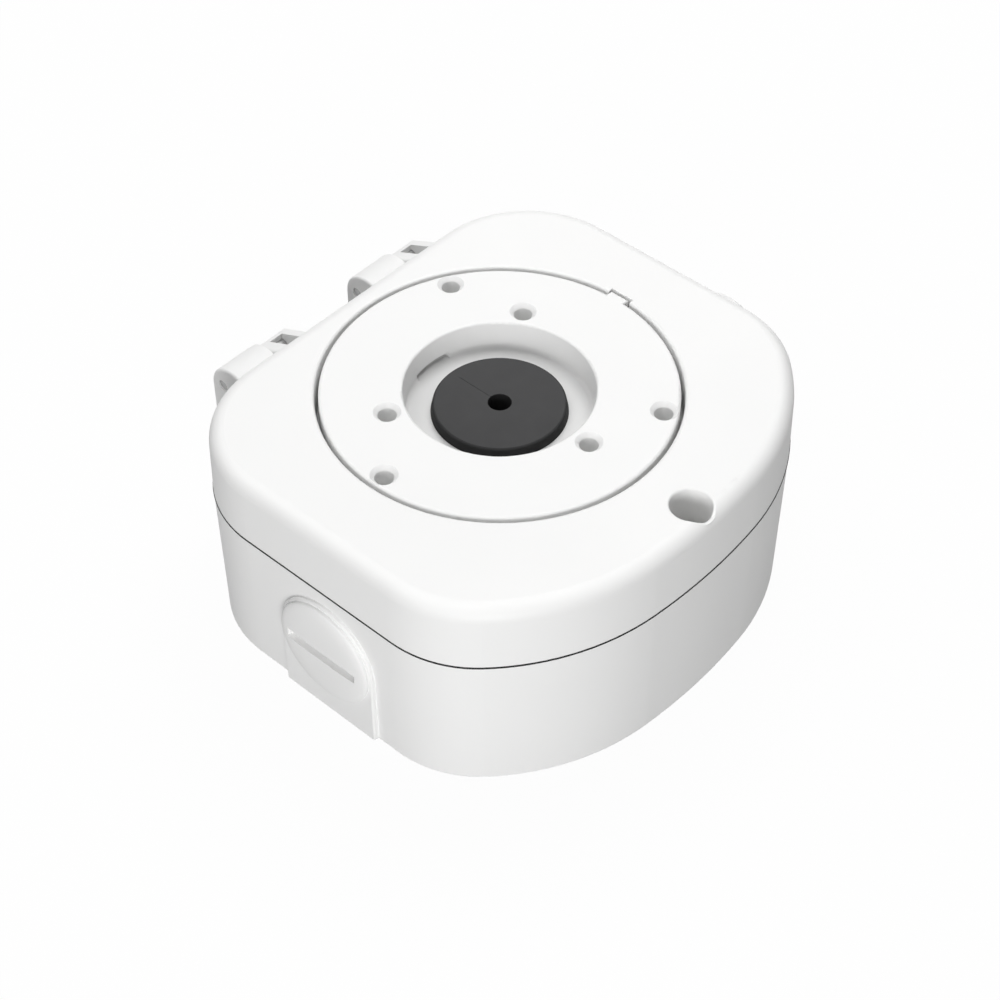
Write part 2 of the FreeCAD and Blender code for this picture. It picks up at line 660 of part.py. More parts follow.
def make_lid():
    body = new_body("lid")
    plan = Drawing(body, "lid_plan", offset=LID_BOTTOM)
    plan.outline("0")
    block = pad(plan, "lid_height", taper="-atan(lid_top_inset / lid_height)")
    top = number(LID_TOP)
    rim = edges_where(block, lambda middle, edge: abs(middle.z - top) < 1e-3)
    dress(body, "Fillet", block, rim, "lid_edge_round")
    cavity = Drawing(body, "lid_cavity", offset=LID_BOTTOM)
    cavity.outline("lid_wall")
    pocket(cavity, "lid_height - lid_plate", up=True)
    turn(body, "disc_seat", [
        ("seat_inner_radius", SEAT_TOP + " - seat_flange"),
        (OPENING + " + seat_wall", SEAT_TOP + " - seat_flange"),
        (OPENING + " + seat_wall", LID_TOP + " - lid_plate / 2"),
        (OPENING, LID_TOP + " - lid_plate / 2"),
        (OPENING, SEAT_TOP),
        ("seat_inner_radius", SEAT_TOP),
    ])
    tube = Drawing(body, "well_tube", offset=WELL_FLOOR + " - well_floor")
    tube.circle("0", "-" + LID_SCREW_Y, "well_radius + well_wall")
    pad(tube, LID_TOP + " - lid_plate / 2 - " + WELL_FLOOR + " + well_floor")
    ribs = Drawing(body, "lid_ribs", offset=LID_TOP + " - lid_plate / 2")
    rib_start = "sqrt((%s + seat_wall / 2) ^ 2 - lid_rib_y ^ 2)" % OPENING
    rib_end = "half_width - lid_wall / 2"
    for middle in ("lid_rib_y", "-lid_rib_y"):
        across = (middle + " - lid_rib / 2", middle + " + lid_rib / 2")
        ribs.rectangle(rib_start, across[0], rib_end, across[1])
        ribs.rectangle("-(%s)" % rib_end, across[0], "-" + rib_start, across[1])
    pad(ribs, "lid_plate / 2 + lid_rib_depth", down=True)
    for side, name in ((-1, "left"), (1, "right")):
        make_arm(body, name, side)
    opening = Drawing(body, "disc_opening", offset=LID_TOP)
    opening.circle("0", "0", OPENING)
    opened = pocket(opening, "disc_depth + disc_seal_thickness")
    mouth = edges_where(opened, circle_edge("0", "0", LID_TOP, OPENING))
    dress(body, "Fillet", opened, mouth, "disc_edge_round")
    notch = Drawing(body, "key_notch", offset=LID_TOP)
    notch.rectangle("disc_radius - disc_gap", "-(key_right + key_right_gap)",
                    "disc_radius + key_reach + key_end_gap", "key_left + key_left_gap")
    pocket(notch, "disc_depth + disc_seal_thickness")
    groove = Drawing(body, "gasket_groove", offset=LID_BOTTOM)
    groove.outline("gasket_inset")
    groove.outline("gasket_inset + gasket_width + 2 * gasket_clearance")
    pocket(groove, "gasket_groove_depth", up=True)
    well = Drawing(body, "screw_well", offset=LID_TOP)
    well.circle("0", "-" + LID_SCREW_Y, "well_radius")
    drilled = pocket(well, LID_TOP + " - " + WELL_FLOOR)
    low, wall = number(LID_TOP + " - lid_edge_round"), number("well_radius")
    centre = -number(LID_SCREW_Y)
    lip = edges_where(drilled, lambda middle, edge: middle.z > low
                      and abs(math.hypot(middle.x, middle.y - centre) - wall) < 1e-3)
    dress(body, "Fillet", drilled, lip, "well_edge_round")
    shank = Drawing(body, "lid_screw_passage", offset=WELL_FLOOR)
    shank.circle("0", "-" + LID_SCREW_Y, "lid_screw_waist + lid_screw_clearance")
    pocket(shank, "well_floor")
    passages = Drawing(body, "disc_screw_passages", offset=SEAT_TOP)
    for angle in DISC_SCREW_ANGLES:
        x, y = polar("outer_hole_distance", angle)
        passages.circle(x, y, "disc_screw_radius + disc_screw_clearance")
    pocket(passages, "seat_flange")
    return body


def make_disc():
    body = new_body("mounting_disc")
    plate_bottom = LID_TOP + " - disc_plate"
    wheel = turn(body, "disc_profile", [
        ("disc_radius", LID_TOP),
        ("disc_radius", DISC_BOTTOM),
        ("disc_radius - disc_rim_wall", DISC_BOTTOM),
        ("disc_radius - disc_rim_wall", plate_bottom),
        ("cup_radius + cup_wall", plate_bottom),
        ("cup_radius + cup_wall", CUP_FLOOR_TOP + " - cup_floor"),
        ("grommet_neck_radius", CUP_FLOOR_TOP + " - cup_floor"),
        ("grommet_neck_radius", CUP_FLOOR_TOP),
        (CUP_LOW_RADIUS, CUP_FLOOR_TOP),
        ("cup_radius", LID_TOP),
    ])
    key = Drawing(body, "disc_key", offset=plate_bottom)
    key.rectangle("disc_radius - disc_rim_wall / 2", "-key_right",
                  "disc_radius + key_reach", "key_left")
    keyed = pad(key, "disc_plate")
    top = number(LID_TOP)
    outer = number("disc_radius")
    rim = edges_where(keyed, lambda middle, edge: abs(middle.z - top) < 1e-3
                      and math.hypot(middle.x, middle.y) > outer - 1e-3)
    rounded = dress(body, "Fillet", keyed, rim, "disc_edge_round")
    lip = edges_where(rounded, circle_edge("0", "0", LID_TOP, "cup_radius"))
    softened = dress(body, "Fillet", rounded, lip, "cup_edge_round")
    corner = edges_where(softened, circle_edge("0", "0", CUP_FLOOR_TOP, CUP_LOW_RADIUS))
    dress(body, "Fillet", softened, corner, "cup_floor_round")
    bosses = Drawing(body, "disc_bosses", offset=BOSS_BOTTOM)
    for radius, angles in (("inner_hole_distance", INNER_HOLE_ANGLES),
                           ("outer_hole_distance", OUTER_HOLE_ANGLES + DISC_SCREW_ANGLES)):
        for angle in angles:
            bosses.circle(*polar(radius, angle), "disc_boss_radius")
    pad(bosses, "disc_depth - disc_boss_gap - disc_plate / 2")
    holes = Drawing(body, "camera_holes", offset=LID_TOP)
    for radius, angles in (("inner_hole_distance", INNER_HOLE_ANGLES),
                           ("outer_hole_distance", OUTER_HOLE_ANGLES)):
        for angle in angles:
            holes.circle(*polar(radius, angle), "camera_hole_radius")
    drilled = pocket(holes, "camera_hole_depth")
    hole_radius = number("camera_hole_radius")
    mouths = edges_where(drilled, lambda middle, edge: abs(middle.z - top) < 1e-3
                         and hasattr(edge.Curve, "Radius")
                         and abs(edge.Curve.Radius - hole_radius) < 1e-6)
    dress(body, "Chamfer", drilled, mouths, "camera_hole_chamfer")
    tapped = Drawing(body, "disc_screw_holes", offset=DISC_BOTTOM)
    for angle in DISC_SCREW_ANGLES:
        tapped.circle(*polar("outer_hole_distance", angle), "disc_screw_radius")
    pocket(tapped, "disc_screw_length - disc_seal_thickness - seat_flange", up=True)
    slot = Drawing(body, "cup_slot", offset=CUP_FLOOR_TOP + " + cup_slot_height")
    slot.rectangle("-cup_slot_length / 2", "cup_radius - 2 * cup_wall",
                   "cup_slot_length / 2", "cup_radius + cup_slot_depth")
    pocket(slot, "cup_slot_height")
    return body


def make_grommet():
    body = new_body("cable_grommet")
    turned = turn(body, "grommet_profile", [
        ("grommet_hole_radius", CUP_FLOOR_TOP + " + grommet_top"),
        ("grommet_top_radius", CUP_FLOOR_TOP + " + grommet_top"),
        ("grommet_radius", CUP_FLOOR_TOP),
        ("grommet_neck_radius", CUP_FLOOR_TOP),
        ("grommet_neck_radius", CUP_FLOOR_TOP + " - cup_floor"),
        ("grommet_radius", CUP_FLOOR_TOP + " - cup_floor"),
        ("grommet_top_radius", CUP_FLOOR_TOP + " - cup_floor - grommet_bottom"),
        ("grommet_hole_radius", CUP_FLOOR_TOP + " - cup_floor - grommet_bottom"),
    ])
    crest = edges_where(turned, circle_edge("0", "0", CUP_FLOOR_TOP + " + grommet_top",
                                            "grommet_top_radius"))
    dress(body, "Chamfer", turned, crest, "grommet_edge_bevel")
    slit = Drawing(body, "grommet_slit", offset=CUP_FLOOR_TOP + " + grommet_top")
    slit.rectangle("-grommet_slit_width / 2", "0", "grommet_slit_width / 2", "grommet_slit_reach")
    pocket(slit, "grommet_top + cup_floor + grommet_bottom")
    return body


def make_gasket():
    body = new_body("lid_gasket")
    ring = Drawing(body, "gasket_plan", offset="tray_height")
    ring.outline("gasket_inset + gasket_clearance")
    ring.outline("gasket_inset + gasket_clearance + gasket_width")
    pad(ring, "seam + gasket_groove_depth")
    return body


def make_disc_seal():
    body = new_body("disc_seal")
    ring = Drawing(body, "disc_seal_plan", offset=SEAT_TOP)
    ring.circle("0", "0", "disc_radius")
    ring.circle("0", "0", "disc_radius - disc_seal_width")
    pad(ring, "disc_seal_thickness")
    return body


def make_disc_screw(number_of_screw, angle):
    """Screw that comes up through the lid's flange into the disc."""
    body = new_body("disc_screw_%d" % number_of_screw)
    turn(body, "disc_screw_%d_profile" % number_of_screw, [
        ("0", "0"),
        ("disc_screw_head_radius", "0"),
        ("disc_screw_head_radius", "disc_screw_head"),
        ("disc_screw_radius", "disc_screw_head"),
        ("disc_screw_radius", "disc_screw_head + disc_screw_length"),
        ("0", "disc_screw_head + disc_screw_length"),
    ])
    for name, length, width in (("long", "cross_length", "cross_width"),
                                ("short", "cross_width", "cross_length")):
        bar = Drawing(body, "disc_screw_%d_cross_%s" % (number_of_screw, name))
        bar.rectangle("-%s / 2" % length, "-%s / 2" % width, "%s / 2" % length, "%s / 2" % width)
        pocket(bar, "cross_depth", up=True)
    x, y = polar("outer_hole_distance", angle)
    put(body, x, y, SEAT_TOP + " - seat_flange - disc_screw_head")
    return body


def make_lid_screw():
    """Captive screw: head with a hexagon socket, thin waist, and threaded tip at its core size."""
    body = new_body("lid_screw")
    thread_top = THREAD_TIP + " + thread_length"
    head_top = HEAD_SEAT + " + lid_screw_head"
    turn(body, "lid_screw_profile", [
        ("0", THREAD_TIP),
        ("lid_screw_core", THREAD_TIP),
        ("lid_screw_core", thread_top),
        ("lid_screw_waist", thread_top),
        ("lid_screw_waist", HEAD_SEAT),
        ("lid_screw_head_radius", HEAD_SEAT),
        ("lid_screw_head_radius", head_top),
        ("0", head_top),
    ])
    socket = Drawing(body, "lid_screw_socket", offset=head_top)
    corners = [polar("lid_screw_hex / sqrt(3)", 60 * step) for step in range(6)]
    socket.polygon(corners)
    pocket(socket, "lid_screw_hex_depth")
    put(body, y="-" + LID_SCREW_Y)
    return body


def make_ring(name, inner, outer, bottom, height, x="0", y="0"):
    """Plain ring with its axis along Z."""
    body = new_body(name)
    drawing = Drawing(body, name + "_plan", offset=bottom)
    drawing.circle("0", "0", outer)
    drawing.circle("0", "0", inner)
    pad(drawing, height)
    put(body, x, y)
    return body


def make_pin(name, side):
    """Hinge pin: pressed into the tray's ear, and the lid's arm turns on it."""
    body = new_body(name)
    drawing = Drawing(body, name + "_section", "YZ_Plane", "pin_recess + " + hinge_face(side))
    drawing.circle(HINGE_Y, HINGE_Z, "pin_radius")
    pad(drawing, "ear_length + arm_gap + arm_length - 2 * pin_recess")
    return body


def make_plug():
    """Slotted plug of the left port, drawn along +Z and turned to face -X."""
    body = new_body("side_plug")
    head = turn(body, "plug_profile", [
        ("0", "-plug_shank"),
        ("port_radius", "-plug_shank"),
        ("port_radius", "0"),
        ("plug_head_radius", "0"),
        ("plug_head_radius", "plug_head"),
        ("0", "plug_head"),
    ])
    rim = edges_where(head, circle_edge("0", "0", "plug_head", "plug_head_radius"))
    dress(body, "Fillet", head, rim, "plug_edge_round")
    slot = Drawing(body, "plug_slot", offset="plug_head")
    slot.rectangle("-plug_slot_width / 2", "-plug_slot_length / 2",
                   "plug_slot_width / 2", "plug_slot_length / 2")
    pocket(slot, "plug_slot_depth")
    put(body, "-" + PAD_FACE, "port_y", PORT_Z,
        FreeCAD.Rotation(FreeCAD.Vector(0, 1, 0), -90))
    return body


def make_port_seal(name, side):
    body = new_body(name)
    ring = Drawing(body, name + "_plan")
    ring.circle("0", "0", "port_radius + port_seal_width")
    ring.circle("0", "0", "port_radius")
    pad(ring, "port_seal_depth")
    put(body, "%d * (%s - port_seal_depth)" % (side, PAD_FACE), "port_y", PORT_Z,
        FreeCAD.Rotation(FreeCAD.Vector(0, 1, 0), 90 * side))
    return body


def face_gland(body, distance="0"):
    """Turn a gland piece, drawn along +Z from the pad's face, to point along +X."""
    put(body, "%s + %s" % (PAD_FACE, distance), "port_y", PORT_Z,
        FreeCAD.Rotation(FreeCAD.Vector(0, 1, 0), 90))


def make_gland():
    body = new_body("gland_body")
    turn(body, "gland_profile", [
        ("gland_bore", "-gland_shank"),
        ("port_radius", "-gland_shank"),
        ("port_radius", "gland_hex_height / 2"),
        ("gland_neck_radius", "gland_hex_height / 2"),
        ("gland_neck_radius", "gland_hex_height + gland_neck"),
        ("gland_bore", "gland_hex_height + gland_neck"),
    ])
    hexagon = Drawing(body, "gland_hexagon")
    hexagon.polygon([polar("gland_hex / sqrt(3)", 60 * step + 30) for step in range(6)])
    hexagon.circle("0", "0", "gland_bore")
    pad(hexagon, "gland_hex_height")
    corner = "gland_hex / sqrt(3)"
    turn(body, "gland_hexagon_bevel", [
        ("gland_hex / 2", "gland_hex_height"),
        (corner + " + gland_hex_chamfer", "gland_hex_height"),
        (corner + " + gland_hex_chamfer", "gland_hex_height - gland_hex_chamfer"),
        (corner, "gland_hex_height - gland_hex_chamfer"),
    ], cut=True)
    face_gland(body)

    nut = new_body("gland_nut")
    turned = turn(nut, "gland_nut_profile", [
        ("gland_neck_radius", "0"),
        ("gland_nut_radius", "0"),
        ("gland_nut_radius", "gland_nut_length"),
        ("gland_bore", "gland_nut_length"),
        ("gland_bore", "gland_nut_length - gland_nut_roof"),
        ("gland_neck_radius", "gland_nut_length - gland_nut_roof"),
    ])
    end = edges_where(turned, circle_edge("0", "0", "gland_nut_length", "gland_nut_radius"))
    dress(nut, "Chamfer", turned, end, "gland_nut_bevel")
    flute = Drawing(nut, "gland_flute")
    flute.circle("gland_nut_radius + gland_flute_depth", "0", "2 * gland_flute_depth")
    cut = pocket(flute, "gland_nut_length / 2", up=True)
    pattern = nut.newObject("PartDesign::PolarPattern", "gland_flutes")
    pattern.Originals = [cut]
    pattern.Axis = (origin_item(nut, "Z_Axis"), [""])
    pattern.Angle = 360
    bind(pattern, "Occurrences", "gland_flutes")
    nut.Tip = pattern
    doc.recompute()
    face_gland(nut, "gland_hex_height + gland_nut_gap")

    bush = new_body("gland_bush")
    turn(bush, "gland_bush_profile", [
        ("gland_bush_bore", "0"),
        ("gland_neck_radius", "0"),
        ("gland_neck_radius", "gland_nut_gap + gland_nut_length - gland_nut_roof - gland_neck"),
        ("gland_bush_bore", "gland_nut_gap + gland_nut_length - gland_nut_roof - gland_neck"),
    ])
    face_gland(bush, "gland_hex_height + gland_neck")
    return [body, nut, bush]


def make_earth_screw():
    body = new_body("earth_screw")
    turn(body, "earth_screw_profile", [
        ("0", "earth_washer - earth_screw_length"),
        ("earth_screw_radius", "earth_washer - earth_screw_length"),
        ("earth_screw_radius", "earth_washer"),
        ("earth_head_radius", "earth_washer"),
        ("earth_head_radius", "earth_washer + earth_head"),
        ("0", "earth_washer + earth_head"),
    ])
    slot = Drawing(body, "earth_screw_slot", offset="earth_washer + earth_head")
    slot.rectangle("-earth_head_radius", "-earth_slot_width / 2",
                   "earth_head_radius", "earth_slot_width / 2")
    pocket(slot, "earth_slot_depth")
    put(body, "earth_x", "earth_y", "tray_floor + earth_post_height")
    return body


parts = [make_tray(), make_lid(), make_disc(), make_grommet(), make_gasket(), make_disc_seal()]
for count, screw_angle in enumerate(DISC_SCREW_ANGLES, start=1):
    parts.append(make_disc_screw(count, screw_angle))
parts.append(make_lid_screw())
parts.append(make_ring("lid_screw_seal", "lid_screw_waist", "lid_screw_head_radius",
                       WELL_FLOOR, "lid_screw_seal", y="-" + LID_SCREW_Y))
parts.append(make_ring("lid_screw_washer", "lid_screw_waist + lid_screw_clearance / 4", "washer_radius",
                       WELL_FLOOR + " - well_floor - washer_thickness", "washer_thickness",
                       y="-" + LID_SCREW_Y))
parts.append(make_pin("hinge_pin_left", -1))
parts.append(make_pin("hinge_pin_right", 1))
parts.append(make_plug())
parts.append(make_port_seal("side_plug_seal", -1))
parts.extend(make_gland())
parts.append(make_port_seal("gland_seal", 1))
parts.append(make_earth_screw())
parts.append(make_ring("earth_washer", "earth_screw_radius", "earth_washer_radius",
                       "tray_floor + earth_post_height", "earth_washer", "earth_x", "earth_y"))
doc.recompute()

for item in doc.Objects:
    for state in ("Invalid", "Error"):
        if state in item.State:
            raise ValueError("%s is in state %s" % (item.Name, state))
os.makedirs("parts", exist_ok=True)
for part in parts:
    if part.Shape.isNull() or not part.Shape.isValid():
        raise ValueError("%s has no sound shape" % part.Label)
    part.Shape.exportStep("parts/%s.step" % part.Label)
    print("%-20s %8.0f mm3, %d solid" % (part.Label, part.Shape.Volume, len(part.Shape.Solids)))
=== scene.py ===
import math

import bmesh
import bpy
import numpy as np
from bpy.props import FloatProperty, FloatVectorProperty, IntProperty, PointerProperty
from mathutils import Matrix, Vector


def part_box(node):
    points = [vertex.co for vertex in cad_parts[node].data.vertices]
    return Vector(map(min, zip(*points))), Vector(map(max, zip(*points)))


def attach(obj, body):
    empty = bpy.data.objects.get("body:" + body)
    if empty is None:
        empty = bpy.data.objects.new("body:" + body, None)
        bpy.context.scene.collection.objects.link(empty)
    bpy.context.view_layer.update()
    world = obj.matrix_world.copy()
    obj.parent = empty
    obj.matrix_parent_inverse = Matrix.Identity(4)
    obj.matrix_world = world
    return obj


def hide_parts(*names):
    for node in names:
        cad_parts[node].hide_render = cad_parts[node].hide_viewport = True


bl_info = {
    "name": "Camera Junction Box",
    "version": (1, 0, 0),
    "blender": (4, 5, 0),
    "location": "View3D > Sidebar > Junction Box",
    "description": "Finishes, plug, gasket lip, thread and studio for a hinged camera box",
    "category": "Add Mesh",
}

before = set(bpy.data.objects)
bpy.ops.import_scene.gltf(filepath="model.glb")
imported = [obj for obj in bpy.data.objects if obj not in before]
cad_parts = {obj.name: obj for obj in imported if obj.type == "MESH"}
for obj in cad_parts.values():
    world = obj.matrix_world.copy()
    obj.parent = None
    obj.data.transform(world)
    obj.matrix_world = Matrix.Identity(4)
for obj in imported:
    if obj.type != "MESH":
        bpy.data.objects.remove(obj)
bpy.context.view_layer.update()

MILLIMETRE = 0.001

# Points closer than this are one, and edges sharper than this stay sharp
MERGE_DISTANCE = 1e-7
CREASE_ANGLE = math.radians(35)
# Directions in which an outline's furthest points are looked for
OUTLINE_DIRECTIONS = 4096

# Depth below the grommet's top at which its rubber has its full painted shade
PAINTED_SHADE_DEPTH = 0.4 * MILLIMETRE
# Clearance of the gasket's lip, and how level points are that belong to one face
LEVEL_TOLERANCE = 0.01 * MILLIMETRE
# Length along Y over which the lip's flange fades towards the hinges, and its least share
FLANGE_FADE = 8.0 * MILLIMETRE
FLANGE_LEAST = 0.02
# Points across the flange's bulge
FLANGE_POINTS = 7

# Plug in its port: its shank, and the steps round it
PORT_RADIUS = 10.0 * MILLIMETRE
PORT_STEPS = 96
# Rows from the slot to the rim, rows and columns of the slot, columns from its end to the rim
RIM_ROWS = 40
SLOT_ROWS = 9
SLOT_COLUMNS = 41
RIM_COLUMNS = 14

# Cup in the disc: radius that its painted shade covers, depth, and how closely the painted shade
# hugs the floor
CUP_MOUTH = 24.3 * MILLIMETRE
CUP_DEPTH = 7.8 * MILLIMETRE
PAINTED_SHADE_FALL = 12

# Threaded tip of the lid screw: the shank's radius, the thread's sink in it, and its length
SHANK_RADIUS = 1.6 * MILLIMETRE
THREAD_SINK = 0.02 * MILLIMETRE
TIP_LENGTH = 4.5 * MILLIMETRE

# Floor: half its width, and how far it lies under the wall plane
FLOOR_REACH = 30.0
FLOOR_DROP = 0.0002

PAINTED_CASTINGS = ("base_housing", "lid")
GLAND_MOULDINGS = ("gland_body", "gland_nut")
BLACK_SEALS = ("lid_gasket", "disc_seal", "lid_screw_seal", "side_plug_seal", "gland_seal",
               "gland_bush")
DISC_SCREWS = ("disc_screw_1", "disc_screw_2", "disc_screw_3")
HINGE_PINS = ("hinge_pin_left", "hinge_pin_right")

# Lamps round the box: azimuth and elevation in degrees, distance and width in metres, watts
LAMPS = {
    "key_lamp": (-45.0, 8.0, 1.0, 0.5, 7.3),
    "side_lamp": (-80.0, 20.0, 1.0, 0.5, 1.6),
    "high_side_lamp": (-80.0, 55.0, 1.0, 0.6, 1.0),
    "high_back_lamp": (110.0, 60.0, 1.1, 0.7, 8.2),
    "rear_lamp": (180.0, 55.0, 1.1, 0.7, 2.8),
}
# Grey of the floor in the light that it throws back, and to the eye
FLOOR_TONE = 0.2
PAPER_TONE = 0.8
# Share of the paper's look that is even light, so that shadows on it stay faint
GLOW_SHARE = 0.96


def middle(node):
    """Centre of a node's box."""
    low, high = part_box(node)
    return (low + high) / 2


class PaintSettings(bpy.types.PropertyGroup):
    """Powder coat on the castings."""

    colour: FloatVectorProperty(
        name="Coat colour", description="Colour of the powder coat", subtype="COLOR",
        size=3, min=0, max=1, default=(0.87, 0.87, 0.865))
    roughness: FloatProperty(
        name="Roughness", description="Mean roughness of the coat", min=0, max=1, default=0.5)
    # Painted shade: share of the coat's brightness left at the cup's floor
    painted_shade_tone: FloatProperty(
        name="Painted recess shade", description="Share of the coat's brightness at the cup's floor",
        min=0, max=1, default=0.78)
    grain: FloatProperty(
        name="Grain size", description="Width of one bump of the coat", subtype="DISTANCE",
        unit="LENGTH", min=0.0001, max=0.005, default=0.0006)
    relief: FloatProperty(
        name="Grain relief", description="Height of the coat's bumps", subtype="DISTANCE",
        unit="LENGTH", min=0, max=0.0005, default=0.000012)


class RubberSettings(bpy.types.PropertyGroup):
    """Grommet and seals."""

    grommet_colour: FloatVectorProperty(
        name="Grommet colour", description="Colour of the cable grommet", subtype="COLOR",
        size=3, min=0, max=1, default=(0.045, 0.045, 0.046))
    seal_colour: FloatVectorProperty(
        name="Seal colour", description="Colour of the gaskets and O-rings", subtype="COLOR",
        size=3, min=0, max=1, default=(0.018, 0.018, 0.018))
    grain: FloatProperty(
        name="Grain size", description="Width of the mould's fine texture", subtype="DISTANCE",
        unit="LENGTH", min=0.0001, max=0.005, default=0.0004)
    lip_bulge: FloatProperty(
        name="Lip bulge", description="How far the squeezed gasket stands out of the seam",
        subtype="DISTANCE", unit="LENGTH", min=0, max=0.0003, default=0.00014)
    lip_lap: FloatProperty(
        name="Lip lap", description="How far the gasket's flange laps over each edge of the seam",
        subtype="DISTANCE", unit="LENGTH", min=0, max=0.0003, default=0.00012)
    lip_depth: FloatProperty(
        name="Lip depth", description="How far the gasket's lip reaches in from the wall",
        subtype="DISTANCE", unit="LENGTH", min=0.0003, max=0.0011, default=0.00105)


class MetalSettings(bpy.types.PropertyGroup):
    """Screws, pins and washers."""

    steel: FloatVectorProperty(
        name="Screw steel", description="Colour of the stainless screws", subtype="COLOR",
        size=3, min=0, max=1, default=(0.62, 0.61, 0.59))
    pin: FloatVectorProperty(
        name="Pin steel", description="Colour of the hinge pins", subtype="COLOR",
        size=3, min=0, max=1, default=(0.5, 0.5, 0.5))
    brass: FloatVectorProperty(
        name="Earth brass", description="Colour of the earth terminal", subtype="COLOR",
        size=3, min=0, max=1, default=(0.78, 0.58, 0.27))
    lathe_step: FloatProperty(
        name="Lathe mark", description="Distance between turning marks", subtype="DISTANCE",
        unit="LENGTH", min=0.00002, max=0.001, default=0.0001)


class PlugSettings(bpy.types.PropertyGroup):
    """Slotted plug in the side port."""

    rim: FloatProperty(
        name="Rim height", description="Height of the head at its rim", subtype="DISTANCE",
        unit="LENGTH", min=0, max=0.002, default=0.0005)
    slot_length: FloatProperty(
        name="Slot length", description="Length of the coin slot", subtype="DISTANCE",
        unit="LENGTH", min=0.005, max=0.027, default=0.0226)
    slot_width: FloatProperty(
        name="Slot width", description="Width of the coin slot", subtype="DISTANCE",
        unit="LENGTH", min=0.001, max=0.006, default=0.003)
    slot_middle: FloatProperty(
        name="Slot depth", description="Depth of the scooped slot in its middle",
        subtype="DISTANCE", unit="LENGTH", min=0, max=0.004, default=0.0019)
    slot_end: FloatProperty(
        name="Slot end depth", description="Depth of the scooped slot at its ends",
        subtype="DISTANCE", unit="LENGTH", min=0, max=0.004, default=0.0014)


class ThreadSettings(bpy.types.PropertyGroup):
    """Threads that are cut on the shanks."""

    lid_screw_pitch: FloatProperty(
        name="Lid screw pitch", description="Rise of the lid screw's thread in one turn",
        subtype="DISTANCE", unit="LENGTH", min=0.0003, max=0.003, default=0.0007)
    lid_screw_depth: FloatProperty(
        name="Lid screw thread depth", description="Height of the thread over its core",
        subtype="DISTANCE", unit="LENGTH", min=0.0001, max=0.001, default=0.0004)
    steps: IntProperty(
        name="Steps per turn", description="Grid steps round one turn", min=12, max=96,
        default=48)


class StudioSettings(bpy.types.PropertyGroup):
    """Camera, floor and lamps."""

    azimuth: FloatProperty(
        name="Azimuth", description="Camera's angle round the box; 0 looks along +Y",
        subtype="ANGLE", unit="ROTATION", default=math.radians(-48.036))
    elevation: FloatProperty(
        name="Elevation", description="Camera's angle above the horizon",
        subtype="ANGLE", unit="ROTATION", default=math.radians(45.934))
    distance: FloatProperty(
        name="Distance", description="Camera's distance from its target",
        subtype="DISTANCE", unit="LENGTH", default=0.55646)
    target: FloatVectorProperty(
        name="Target", description="Point in the middle of the picture",
        subtype="TRANSLATION", unit="LENGTH", size=3, default=(-0.004995, -0.004592, 0.0270))
    lens: FloatProperty(
        name="Lens", description="Focal length on a 36 mm sensor", subtype="DISTANCE_CAMERA",
        default=79.01)
    lamps: FloatProperty(
        name="Lamps", description="Brightness of all lamps together", min=0, max=4,
        default=1.035)
    sky: FloatProperty(
        name="Room light", description="Strength of the even light from all round",
        min=0, max=3, default=0.1)
    backdrop: FloatProperty(
        name="Backdrop", description="Brightness of floor and backdrop in the picture",
        min=0, max=1, default=1.0)


class Flow:
    """A shader socket that takes part in sums, products and comparisons."""

    def __init__(self, finish, socket):
        self.finish = finish
        self.socket = socket

    def math(self, operation, *others):
        return self.finish.math(operation, self, *others)

    def __add__(self, other):
        return self.math("ADD", other)

    def __radd__(self, other):
        return self.finish.math("ADD", other, self)

    def __sub__(self, other):
        return self.math("SUBTRACT", other)

    def __rsub__(self, other):
        return self.finish.math("SUBTRACT", other, self)

    def __mul__(self, other):
        return self.math("MULTIPLY", other)

    def __rmul__(self, other):
        return self.finish.math("MULTIPLY", other, self)

    def __truediv__(self, other):
        return self.math("DIVIDE", other)

    def __pow__(self, other):
        return self.math("POWER", other)

    def __abs__(self):
        return self.math("ABSOLUTE")

    def clamped(self):
        return self.finish.node("Clamp", {}, Value=self)


